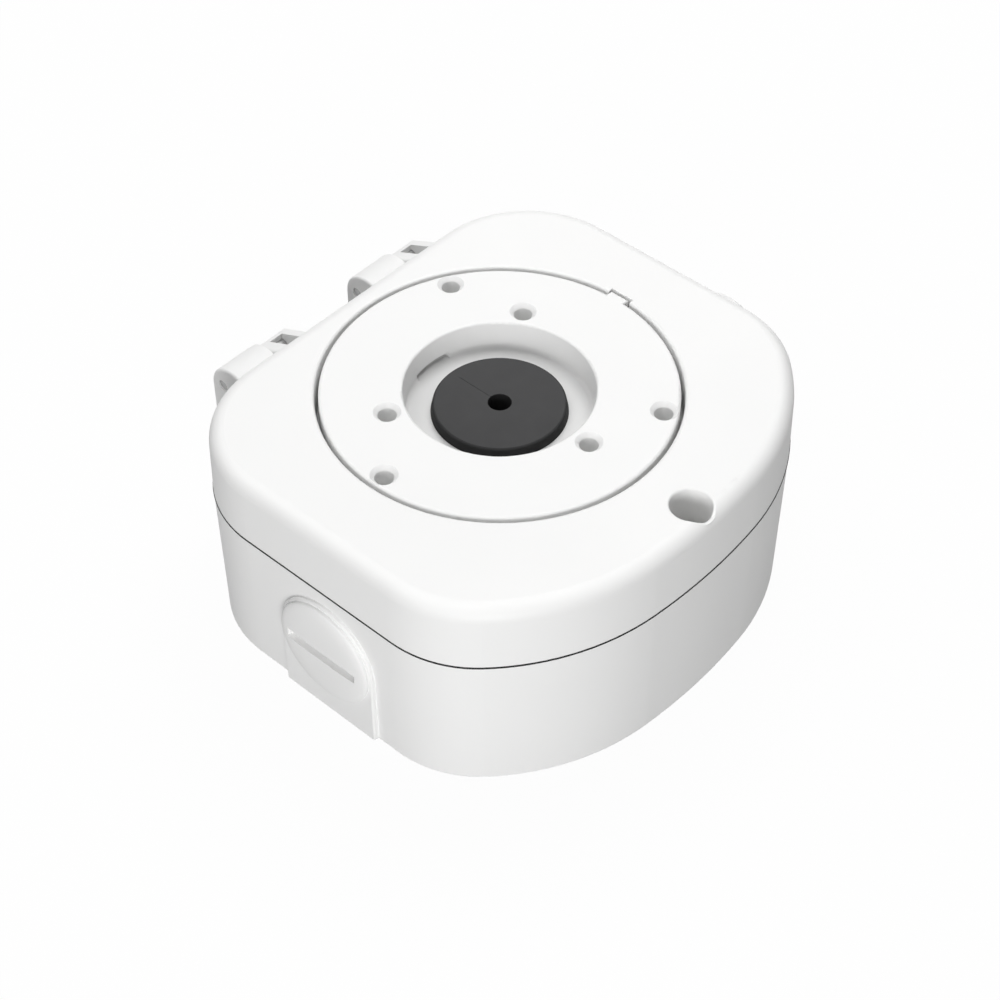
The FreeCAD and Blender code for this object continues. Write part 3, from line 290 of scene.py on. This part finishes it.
class Finish:
    """One material, or the room's world, built by expressions on Flow values."""

    def __init__(self, name, world=None):
        self.material = world or bpy.data.materials.new(name)
        self.material.use_nodes = True
        self.tree = self.material.node_tree
        self.tree.nodes.clear()
        self.output = "World" if world else "Material"

    def node(self, kind, settings, output=0, **inputs):
        """Adds one node: its settings first, then the values or links of its sockets."""
        made = self.tree.nodes.new("ShaderNode" + kind)
        for key, value in settings.items():
            if key == "stops":
                self.set_stops(made.color_ramp, value)
            else:
                setattr(made, key, value)
        for key, value in inputs.items():
            place = int(key[1:]) if key[0] == "_" else key.replace("_", " ")
            socket = made.inputs[place]
            if isinstance(value, Flow):
                self.tree.links.new(value.socket, socket)
            else:
                socket.default_value = value
        return Flow(self, made.outputs[output])

    @staticmethod
    def set_stops(ramp, stops):
        """Places the colour stops (position, grey level) of a ramp."""
        while len(ramp.elements) < len(stops):
            ramp.elements.new(1.0)
        for element, (position, level) in zip(ramp.elements, stops):
            element.position = position
            element.color = (level, level, level, 1.0)

    def math(self, operation, *values):
        sockets = {"_%d" % place: value for place, value in enumerate(values)}
        return self.node("Math", {"operation": operation}, **sockets)

    def place(self):
        """Position on the box, in metres, in the box's own frame."""
        return self.node("TexCoord", {}, output="Object")

    def axes(self, vector):
        """The three numbers of a vector."""
        made = self.tree.nodes.new("ShaderNodeSeparateXYZ")
        self.tree.links.new(vector.socket, made.inputs[0])
        return [Flow(self, socket) for socket in made.outputs]

    def noise(self, width, detail=3.0, roughness=0.5, vector=None):
        """Noise whose lumps are about the given width, in metres."""
        return self.node("TexNoise", {}, Vector=vector or self.place(), Scale=1.0 / width,
                         Detail=detail, Roughness=roughness)

    def tint(self, factor, first, second):
        """Mixes two colours by a factor."""
        return self.node("Mix", {"data_type": "RGBA"}, output=2, _0=factor,
                         _6=(*first, 1.0), _7=(*second, 1.0))

    def blend(self, factor, first, second):
        """Mixes a colour flow with a plain colour by a factor."""
        return self.node("Mix", {"data_type": "RGBA"}, output=2, _0=factor, _6=first,
                         _7=(*second, 1.0))

    def bump(self, height, distance, strength=1.0):
        return self.node("Bump", {}, Height=height, Distance=distance, Strength=strength)

    def surface(self, **inputs):
        return self.close(self.node("BsdfPrincipled", {}, **inputs))

    def close(self, shader):
        output = self.tree.nodes.new("ShaderNodeOutput" + self.output)
        self.tree.links.new(shader.socket, output.inputs["Surface"])
        return self.material


def darker(colour, share):
    """The colour with its light reduced to a share."""
    return tuple(channel * share for channel in colour)


def painted_shade_mask(finish, radius, top, depth):
    """Mask of painted shade: how near the floor of a round recess about the Z axis a point lies, 1
    on the floor.
    """
    x, y, z = finish.axes(finish.place())
    reach = (x ** 2 + y ** 2) ** 0.5
    inside = finish.math("LESS_THAN", reach, radius)
    return inside * ((top - z) / depth).clamped() ** PAINTED_SHADE_FALL


def powder_coat(name, paint, grain_share=1.0, recess=None):
    """Satin powder coat: fine bumps, faint clouds in roughness and tone, and painted shade that
    darkens a recess towards its floor.
    """
    finish = Finish(name)
    fine = finish.noise(paint.grain * grain_share, detail=2.0)
    clouds = finish.noise(25 * MILLIMETRE, detail=2.0)
    specks = finish.node("TexVoronoi", {"feature": "F1"}, Vector=finish.place(),
                         Scale=1.0 / (1.6 * MILLIMETRE))
    speck = (1.0 - specks * 7.0).clamped()
    tone = (clouds * 0.5 + fine * 0.3 + speck * 0.25).clamped()
    colour = finish.tint(tone, paint.colour, darker(paint.colour, 0.965))
    # Painted shade: the coat is darkened towards the floor of the recess
    if recess:
        colour = finish.blend(painted_shade_mask(finish, *recess), colour,
                              darker(paint.colour, paint.painted_shade_tone))
    height = fine + speck * 0.6
    return finish.surface(
        Base_Color=colour,
        Roughness=(paint.roughness - 0.06 + clouds * 0.08 + fine * 0.06).clamped(),
        Normal=finish.bump(height, paint.relief),
        Specular_IOR_Level=0.45,
    )


def nylon(name, paint):
    """Moulded white nylon: smoother than the coat, a little translucent."""
    finish = Finish(name)
    flow = finish.noise(6 * MILLIMETRE, detail=3.0)
    fine = finish.noise(0.5 * MILLIMETRE, detail=2.0)
    colour = finish.tint(flow, darker(paint.colour, 0.99), darker(paint.colour, 0.95))
    return finish.surface(
        Base_Color=colour,
        Roughness=(0.34 + flow * 0.1).clamped(),
        Normal=finish.bump(fine, 5e-6),
        Subsurface_Weight=0.05,
        Subsurface_Radius=(1.0, 0.9, 0.8),
        Subsurface_Scale=0.001,
    )


def rubber(name, colour, grain, top=None):
    """Matt rubber with the fine texture of its mould and traces of dust.

    Below the height of a top face it is darkened as painted shade on its sides.
    """
    finish = Finish(name)
    fine = finish.noise(grain, detail=3.0)
    dust = finish.noise(4 * MILLIMETRE, detail=5.0, roughness=0.65)
    tone = (dust * 0.7 + fine * 0.3).clamped()
    dust_and_painted_shade = finish.tint(tone, darker(colour, 0.92), darker(colour, 1.1))
    # Painted shade: below the top face the rubber darkens to a third of its colour
    if top is not None:
        _, _, z = finish.axes(finish.place())
        dust_and_painted_shade = finish.blend(((top - z) / PAINTED_SHADE_DEPTH).clamped(), dust_and_painted_shade, darker(colour, 0.3))
    return finish.surface(
        Base_Color=dust_and_painted_shade,
        Roughness=(0.62 + dust * 0.2).clamped(),
        Normal=finish.bump(fine, 1.2e-5),
        Specular_IOR_Level=0.25,
    )


def turned_metal(name, colour, axis_point, step, roughness=0.28):
    """Metal turned on a lathe: rings round the piece's own axis, which is along Z."""
    finish = Finish(name)
    x, y, z = finish.axes(finish.place())
    radius = (((x - axis_point.x) ** 2 + (y - axis_point.y) ** 2) ** 0.5)
    along = finish.node("CombineXYZ", {}, X=radius, Y=z, Z=0.0)
    rings = finish.noise(step, detail=1.0, vector=along)
    stains = finish.noise(3 * MILLIMETRE, detail=3.0)
    tint = finish.tint(stains, colour, darker(colour, 0.86))
    return finish.surface(
        Base_Color=tint,
        Metallic=1.0,
        Roughness=(roughness - 0.05 + rings * 0.14).clamped(),
        Normal=finish.bump(rings, 4e-6),
    )


def drawn_metal(name, colour, step):
    """Ground pin: fine lines round its length, which is along X."""
    finish = Finish(name)
    x, _, _ = finish.axes(finish.place())
    along = finish.node("CombineXYZ", {}, X=x, Y=0.0, Z=0.0)
    rings = finish.noise(step, detail=2.0, vector=along)
    stains = finish.noise(2 * MILLIMETRE, detail=3.0)
    return finish.surface(
        Base_Color=finish.tint(stains, colour, darker(colour, 0.75)),
        Metallic=0.8,
        Roughness=(0.5 + rings * 0.2).clamped(),
        Normal=finish.bump(rings, 3e-6),
    )


def dress(node, material):
    """Gives a CAD node one material on all its slots."""
    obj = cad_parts[node]
    if not obj.material_slots:
        obj.data.materials.append(material)
    for place in obj.material_slots:
        place.material = material
    return obj


def grid_faces(shape, closed_u, closed_v):
    """Corner numbers of the four-sided cells of a grid with rows u and columns v."""
    rows, columns = shape
    index = np.arange(rows * columns).reshape(rows, columns)
    if closed_u:
        index = np.vstack([index, index[:1]])
    if closed_v:
        index = np.hstack([index, index[:, :1]])
    return np.stack([index[:-1, :-1], index[1:, :-1], index[1:, 1:], index[:-1, 1:]],
                    axis=-1).reshape(-1, 4)


def mesh_from_grids(name, grids, solid=True):
    """Object from grids of points (grid, closed_u, closed_v).

    A solid has its double points merged, its faces turned outwards, and its surface shaded
    smooth up to a crease angle.
    """
    points, faces = np.empty((0, 3)), np.empty((0, 4), dtype=int)
    for grid, closed_u, closed_v in grids:
        faces = np.vstack([faces, grid_faces(grid.shape[:2], closed_u, closed_v) + len(points)])
        points = np.vstack([points, grid.reshape(-1, 3)])
    mesh = bpy.data.meshes.new(name)
    mesh.from_pydata(points, [], faces)
    if solid:
        shell = bmesh.new()
        shell.from_mesh(mesh)
        bmesh.ops.remove_doubles(shell, verts=shell.verts, dist=MERGE_DISTANCE)
        bmesh.ops.recalc_face_normals(shell, faces=shell.faces)
        shell.to_mesh(mesh)
        shell.free()
        mesh.polygons.foreach_set("use_smooth", np.ones(len(mesh.polygons), dtype=bool))
        mesh.set_sharp_from_angle(angle=CREASE_ANGLE)
    mesh.update()
    obj = bpy.data.objects.new(name, mesh)
    bpy.context.scene.collection.objects.link(obj)
    return obj


def node_points(node):
    """All corner points of a CAD node's mesh."""
    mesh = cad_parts[node].data
    points = np.empty(len(mesh.vertices) * 3)
    mesh.vertices.foreach_get("co", points)
    return points.reshape(-1, 3)


def convex_outline(plan):
    """Corners of the convex outline round points of a plan, anticlockwise, with their normals.

    A point is a corner if it reaches furthest in some direction. The normal is the chord
    between a corner's neighbours, turned by a quarter.
    """
    angle = np.linspace(0.0, 2.0 * np.pi, OUTLINE_DIRECTIONS, endpoint=False)
    direction = np.stack([np.cos(angle), np.sin(angle)])
    furthest = np.argmax(plan @ direction, axis=0)
    corners = plan[furthest[furthest != np.roll(furthest, 1)]]
    chord = np.roll(corners, -1, axis=0) - np.roll(corners, 1, axis=0)
    normals = np.stack([chord[:, 1], -chord[:, 0]], axis=-1)
    return corners, normals / np.linalg.norm(normals, axis=1, keepdims=True)


def lip_surface(corners, normals, lip, low, high):
    """Ring along an outline: each corner moves in along its normal by the profile's inset.

    The profile is a T: a tongue at heights from low to high, and outside the outline a thin
    flange that laps over both edges. The flange's face stands out as bulge * sin(t). Towards the
    back, where the hinge ears are, the flange fades and the tongue stays inside the outline.
    """
    back = corners[:, 1].max()
    share = np.clip((back - corners[:, 1]) / FLANGE_FADE, FLANGE_LEAST, 1.0)[:, None]
    lap = lip.lip_lap * np.clip(2.0 * share - 1.0, FLANGE_LEAST, 1.0)
    edge = LEVEL_TOLERANCE * (1.0 - 2.0 * share)
    turn = np.linspace(0.0, np.pi, FLANGE_POINTS)[None, :]
    face = edge - lip.lip_bulge * share * np.sin(turn)
    rise = low - lap + (high - low + 2.0 * lap) * turn / np.pi
    ones = np.ones_like(share)
    inset = np.hstack([lip.lip_depth * ones, edge, face, edge, lip.lip_depth * ones])
    height = np.hstack([low * ones, low * ones, rise, high * ones, high * ones])
    plan = corners[:, None, :] - normals[:, None, :] * inset[:, :, None]
    return np.concatenate([plan, height[:, :, None]], axis=-1)


def plug_head(radius, head, plug):
    """Domed disc with a scooped slot, as (across, along, height) on a grid of chords.

    A row is a chord at a distance radius * sin(a) across the slot; a column is a share s of
    half the chord's length. The height is rim + (head - rim) * sqrt(1 - (r / radius) ** 4),
    less the slot's depth, which falls off with the square of the distance from its middle.
    The last columns run back along the flat underside, so that the surface is closed.
    """
    half = plug.slot_width / 2
    edge = math.asin(half / radius)
    outer = radius * np.sin(np.linspace(edge, math.pi / 2, RIM_ROWS))
    inner = np.linspace(-half, half, SLOT_ROWS)
    across = np.concatenate([-outer[::-1], inner, outer])
    in_row = np.concatenate([0 * outer, 0 * inner + 1, 0 * outer]) > 0
    chord = np.sqrt(np.maximum(radius ** 2 - across ** 2, 0.0))
    end = np.minimum(plug.slot_length / 2 / np.maximum(chord, MERGE_DISTANCE), 0.9)
    tail = np.sin(np.linspace(0.0, math.pi / 2, RIM_COLUMNS))
    side = end[:, None] + (1.0 - end[:, None]) * tail[None, :]
    centre = end[:, None] * np.linspace(-1.0, 1.0, SLOT_COLUMNS)[None, :]
    share = np.hstack([-side[:, ::-1], centre, side])
    in_column = np.concatenate([0 * tail, np.ones(SLOT_COLUMNS), 0 * tail]) > 0
    along = chord[:, None] * share
    distance = np.sqrt(across[:, None] ** 2 + along ** 2) / radius
    height = plug.rim + (head - plug.rim) * np.sqrt(np.clip(1.0 - distance ** 4, 0.0, 1.0))
    scoop = 1.0 - (2.0 * along / plug.slot_length) ** 2
    depth = plug.slot_end + (plug.slot_middle - plug.slot_end) * np.clip(scoop, 0.0, 1.0)
    height = height - depth * (in_row[:, None] & in_column[None, :])
    across = np.broadcast_to(across[:, None], along.shape)
    front = np.stack([across, along, height], axis=-1)
    back = np.stack([across, along, np.zeros_like(along)], axis=-1)[:, ::-1]
    return np.concatenate([front, back], axis=1)


def to_port(grid, face, centre):
    """Turns a surface drawn as (across, along, height) to face -X on the port's axis.

    Across becomes Z and along becomes Y, both counted from the centre; height counts from face.
    """
    across, along, height = np.moveaxis(grid, -1, 0)
    return np.stack([face - height, centre.y + along, centre.z + across], axis=-1)


def turned_surface(profile, steps):
    """Profile of (radius, height) points turned about the height axis, as (across, along, height).

    The point at an angle t lies at (radius * cos(t), radius * sin(t), height).
    """
    profile = np.asarray(profile)
    angle = np.linspace(0.0, 2.0 * np.pi, steps, endpoint=False)[:, None]
    radius, height = profile[None, :, 0], profile[None, :, 1]
    return np.stack([radius * np.cos(angle), radius * np.sin(angle),
                     np.broadcast_to(height, (steps, len(profile)))], axis=-1)


def thread_surface(name, centre, core, depth, pitch, bottom, top, steps):
    """Screw thread round a Z axis.

    A point at turn u and profile place v lies at radius core + depth * crest(v) * taper(u) and at
    height bottom + pitch * (u + v); crest is a trapezium wave of period 1, and taper lets the
    thread start and end flush with its core over half a turn. An inner wall closes each section,
    and a pole in the middle of the section closes each end.
    """
    turns = (top - bottom) / pitch - 1.0
    u = np.linspace(0.0, turns, int(turns * steps) + 1)
    profile = np.array([0.01, 0.01, 0.12, 0.44, 0.56, 0.88, 0.99, 0.99])
    crest = np.array([0.0, 0.0, 0.0, 1.0, 1.0, 0.0, 0.0, 0.0])
    wall = depth * np.array([1.0, 0.0, 0.0, 0.0, 0.0, 0.0, 0.0, 1.0])
    taper = np.clip(np.minimum(u, turns - u) / 0.5, 0.0, 1.0)
    radius = core - wall[None, :] + depth * crest[None, :] * taper[:, None]
    height = bottom + pitch * (u[:, None] + profile[None, :])
    angle = 2.0 * np.pi * u[:, None]
    grid = np.stack([centre.x + radius * np.cos(angle), centre.y + radius * np.sin(angle),
                     height], axis=-1)
    poles = [np.broadcast_to(row.mean(axis=0), row.shape)[None] for row in (grid[0], grid[-1])]
    grid = np.concatenate([poles[0], grid, poles[1]])
    return mesh_from_grids(name, [(grid, False, True)])


class JUNCTIONBOX_OT_paint_castings(bpy.types.Operator):
    """Powder coat on tray, lid and disc, with painted shade on the floor of the disc's cup"""

    bl_idname = "junctionbox.paint_castings"
    bl_label = "Paint Castings"

    def execute(self, context):
        paint = context.scene.junctionbox_paint
        coat = powder_coat("white_powder_coat", paint)
        for node in PAINTED_CASTINGS:
            dress(node, coat)
        _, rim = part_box("mounting_disc")
        # Painted shade darkens the floor of the disc's cup
        cup = (CUP_MOUTH, rim.z, CUP_DEPTH)
        dress("mounting_disc", powder_coat("white_disc_coat_painted_shade", paint, recess=cup))
        return {"FINISHED"}


class JUNCTIONBOX_OT_turn_plug(bpy.types.Operator):
    """Domed plug with a scooped slot, in place of the plain one"""

    bl_idname = "junctionbox.turn_plug"
    bl_label = "Turn Plug"

    def execute(self, context):
        low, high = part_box("side_plug")
        face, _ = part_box("base_housing")
        centre = middle("side_plug")
        radius, shank = (high.z - low.z) / 2, PORT_RADIUS
        chamfer = shank / 10
        head = plug_head(radius, face.x - low.x, context.scene.junctionbox_plug)
        length = high.x - face.x
        core = turned_surface([(0.0, 0.0), (shank, 0.0), (shank, chamfer - length),
                               (shank - chamfer, -length), (0.0, -length)], PORT_STEPS)
        plug = mesh_from_grids("domed_side_plug", [
            (to_port(head, face.x, centre), False, True),
            (to_port(core, face.x, centre), True, False)])
        plug.data.materials.append(powder_coat("white_plug_coat", context.scene.junctionbox_paint,
                                               grain_share=0.8))
        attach(plug, "tray")
        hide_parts("side_plug")
        dress("side_plug", plug.data.materials[0])
        return {"FINISHED"}


class JUNCTIONBOX_OT_lay_gasket_lip(bpy.types.Operator):
    """Black lip of the lid's gasket, which shows in the seam"""

    bl_idname = "junctionbox.lay_gasket_lip"
    bl_label = "Lay Gasket Lip"

    def execute(self, context):
        settings = context.scene.junctionbox_rubber
        seam_low, seam_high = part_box("lid_gasket")[0].z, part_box("lid")[0].z
        points = node_points("lid")
        plan = points[np.abs(points[:, 2] - seam_high) < LEVEL_TOLERANCE, :2]
        corners, normals = convex_outline(plan)
        ring = lip_surface(corners, normals, settings,
                           seam_low + LEVEL_TOLERANCE, seam_high - LEVEL_TOLERANCE)
        lip = mesh_from_grids("gasket_lip", [(ring, True, True)])
        lip.data.materials.append(rubber("lip_rubber", settings.seal_colour, settings.grain))
        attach(lip, "cover")
        return {"FINISHED"}


class JUNCTIONBOX_OT_finish_gland(bpy.types.Operator):
    """White nylon on the cable gland's body and nut"""

    bl_idname = "junctionbox.finish_gland"
    bl_label = "Finish Gland"

    def execute(self, context):
        moulding = nylon("white_nylon", context.scene.junctionbox_paint)
        for node in GLAND_MOULDINGS:
            dress(node, moulding)
        return {"FINISHED"}


class JUNCTIONBOX_OT_finish_rubber(bpy.types.Operator):
    """Rubber of the grommet, the gaskets and the O-rings"""

    bl_idname = "junctionbox.finish_rubber"
    bl_label = "Finish Rubber"

    def execute(self, context):
        settings = context.scene.junctionbox_rubber
        # The grommet's sides below its top get painted shade
        _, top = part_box("cable_grommet")
        dress("cable_grommet", rubber("grommet_rubber_painted_shade", settings.grommet_colour, settings.grain,
                                      top=top.z))
        seal = rubber("seal_rubber", settings.seal_colour, settings.grain)
        for node in BLACK_SEALS:
            dress(node, seal)
        return {"FINISHED"}


class JUNCTIONBOX_OT_finish_metal(bpy.types.Operator):
    """Steel of the screws and pins, brass of the earth terminal"""

    bl_idname = "junctionbox.finish_metal"
    bl_label = "Finish Metal"

    def execute(self, context):
        metal = context.scene.junctionbox_metal
        for node in (*DISC_SCREWS, "lid_screw", "lid_screw_washer"):
            dress(node, turned_metal(node + "_steel", metal.steel, middle(node), metal.lathe_step))
        for node in ("earth_screw", "earth_washer"):
            dress(node, turned_metal(node + "_brass", metal.brass, middle(node),
                                     metal.lathe_step, roughness=0.34))
        pin = drawn_metal("pin_steel", metal.pin, metal.lathe_step)
        for node in HINGE_PINS:
            dress(node, pin)
        return {"FINISHED"}


class JUNCTIONBOX_OT_cut_threads(bpy.types.Operator):
    """Thread on the tip of the lid screw"""

    bl_idname = "junctionbox.cut_threads"
    bl_label = "Cut Threads"

    def execute(self, context):
        settings = context.scene.junctionbox_thread
        metal = context.scene.junctionbox_metal
        low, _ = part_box("lid_screw")
        centre = middle("lid_screw")
        thread = thread_surface("lid_screw_thread", centre, SHANK_RADIUS - THREAD_SINK,
                                settings.lid_screw_depth, settings.lid_screw_pitch,
                                low.z, low.z + TIP_LENGTH, settings.steps)
        thread.data.materials.append(
            turned_metal("lid_screw_thread_steel", metal.steel, centre, metal.lathe_step))
        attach(thread, "screw")
        return {"FINISHED"}


def towards(azimuth, elevation):
    """Unit vector to a point at an azimuth, counted from -Y towards +X, and an elevation."""
    return Vector((math.sin(azimuth) * math.cos(elevation),
                   -math.cos(azimuth) * math.cos(elevation), math.sin(elevation)))


def area_lamp(name, target, direction, distance, size, power):
    """Soft square lamp that faces the target from a direction."""
    lamp = bpy.data.lights.new(name, "AREA")
    lamp.shape = "SQUARE"
    lamp.size = size
    lamp.energy = power
    obj = bpy.data.objects.new(name, lamp)
    obj.location = target + direction * distance
    obj.rotation_euler = (-direction).to_track_quat("-Z", "Y").to_euler()
    bpy.context.scene.collection.objects.link(obj)
    return obj


def seen_rays(finish):
    """One for rays of the camera, of reflections and of clear matter, else nothing."""
    kinds = [finish.node("LightPath", {}, output=kind)
             for kind in ("Is Camera Ray", "Is Glossy Ray", "Is Transmission Ray")]
    return finish.math("MAXIMUM", finish.math("MAXIMUM", kinds[0], kinds[1]), kinds[2])


def stage_paper(name, brightness):
    """Pale paper: lit and shadowed for the box, even and pale for the camera and in reflections."""
    finish = Finish(name)
    seen = seen_rays(finish)
    lit = finish.node("BsdfDiffuse", {},
                      Color=finish.tint(seen, (FLOOR_TONE,) * 3, (PAPER_TONE,) * 3))
    glow = finish.node("Emission", {}, Color=(1.0, 1.0, 1.0, 1.0), Strength=brightness)
    both = finish.node("MixShader", {}, _0=seen * GLOW_SHARE, _1=lit, _2=glow)
    return finish.close(both)


class JUNCTIONBOX_OT_set_stage(bpy.types.Operator):
    """Pale floor, soft lamps and the camera at the picture's angle"""

    bl_idname = "junctionbox.set_stage"
    bl_label = "Set Stage"

    def execute(self, context):
        studio = context.scene.junctionbox_studio
        reach = FLOOR_REACH
        corners = np.array([[[-reach, -reach, 0.0], [-reach, reach, 0.0]],
                            [[reach, -reach, 0.0], [reach, reach, 0.0]]])
        floor = mesh_from_grids("studio_floor", [(corners, False, False)], solid=False)
        floor.location.z = -FLOOR_DROP
        floor.data.materials.append(stage_paper("studio_paper", studio.backdrop))
        self.light_world(studio)
        target = Vector(studio.target)
        for name, (azimuth, elevation, distance, size, power) in LAMPS.items():
            direction = towards(math.radians(azimuth), math.radians(elevation))
            area_lamp(name, target, direction, distance, size, power * studio.lamps)
        back = towards(studio.azimuth, studio.elevation)
        lens = bpy.data.cameras.new("studio_camera")
        lens.lens = studio.lens
        lens.sensor_width = 36.0
        lens.clip_start, lens.clip_end = 0.01, 100.0
        camera = bpy.data.objects.new("studio_camera", lens)
        camera.location = target + back * studio.distance
        camera.rotation_euler = (-back).to_track_quat("-Z", "Y").to_euler()
        context.scene.collection.objects.link(camera)
        context.scene.camera = camera
        context.scene.view_settings.view_transform = "Standard"
        return {"FINISHED"}

    @staticmethod
    def light_world(studio):
        world = bpy.data.worlds.new("studio_room")
        bpy.context.scene.world = world
        room = Finish("studio_room", world)
        lit = room.node("Background", {}, Strength=studio.sky)
        backdrop = room.node("Background", {}, Strength=studio.backdrop)
        room.close(room.node("MixShader", {}, _0=seen_rays(room), _1=lit, _2=backdrop))


class JUNCTIONBOX_PT_panel(bpy.types.Panel):
    """Lists the steps that finish the junction box."""

    bl_idname = "JUNCTIONBOX_PT_panel"
    bl_label = "Junction Box"
    bl_space_type = "VIEW_3D"
    bl_region_type = "UI"
    bl_category = "Junction Box"

    def draw(self, context):
        for operator in OPERATORS:
            self.layout.operator(operator.bl_idname)


SETTINGS = {
    "junctionbox_paint": PaintSettings,
    "junctionbox_plug": PlugSettings,
    "junctionbox_rubber": RubberSettings,
    "junctionbox_metal": MetalSettings,
    "junctionbox_thread": ThreadSettings,
    "junctionbox_studio": StudioSettings,
}

OPERATORS = (
    JUNCTIONBOX_OT_paint_castings,
    JUNCTIONBOX_OT_turn_plug,
    JUNCTIONBOX_OT_lay_gasket_lip,
    JUNCTIONBOX_OT_finish_gland,
    JUNCTIONBOX_OT_finish_rubber,
    JUNCTIONBOX_OT_finish_metal,
    JUNCTIONBOX_OT_cut_threads,
    JUNCTIONBOX_OT_set_stage,
)


def register():
    for group in SETTINGS.values():
        bpy.utils.register_class(group)
    for name, group in SETTINGS.items():
        setattr(bpy.types.Scene, name, PointerProperty(type=group))
    for operator in OPERATORS:
        bpy.utils.register_class(operator)
    bpy.utils.register_class(JUNCTIONBOX_PT_panel)


def unregister():
    bpy.utils.unregister_class(JUNCTIONBOX_PT_panel)
    for operator in reversed(OPERATORS):
        bpy.utils.unregister_class(operator)
    for name in SETTINGS:
        delattr(bpy.types.Scene, name)
    for group in SETTINGS.values():
        bpy.utils.unregister_class(group)


def main():
    register()
    bpy.ops.junctionbox.paint_castings()
    bpy.ops.junctionbox.turn_plug()
    bpy.ops.junctionbox.lay_gasket_lip()
    bpy.ops.junctionbox.finish_gland()
    bpy.ops.junctionbox.finish_rubber()
    bpy.ops.junctionbox.finish_metal()
    bpy.ops.junctionbox.cut_threads()
    bpy.ops.junctionbox.set_stage()


if __name__ == "__main__":
    main()
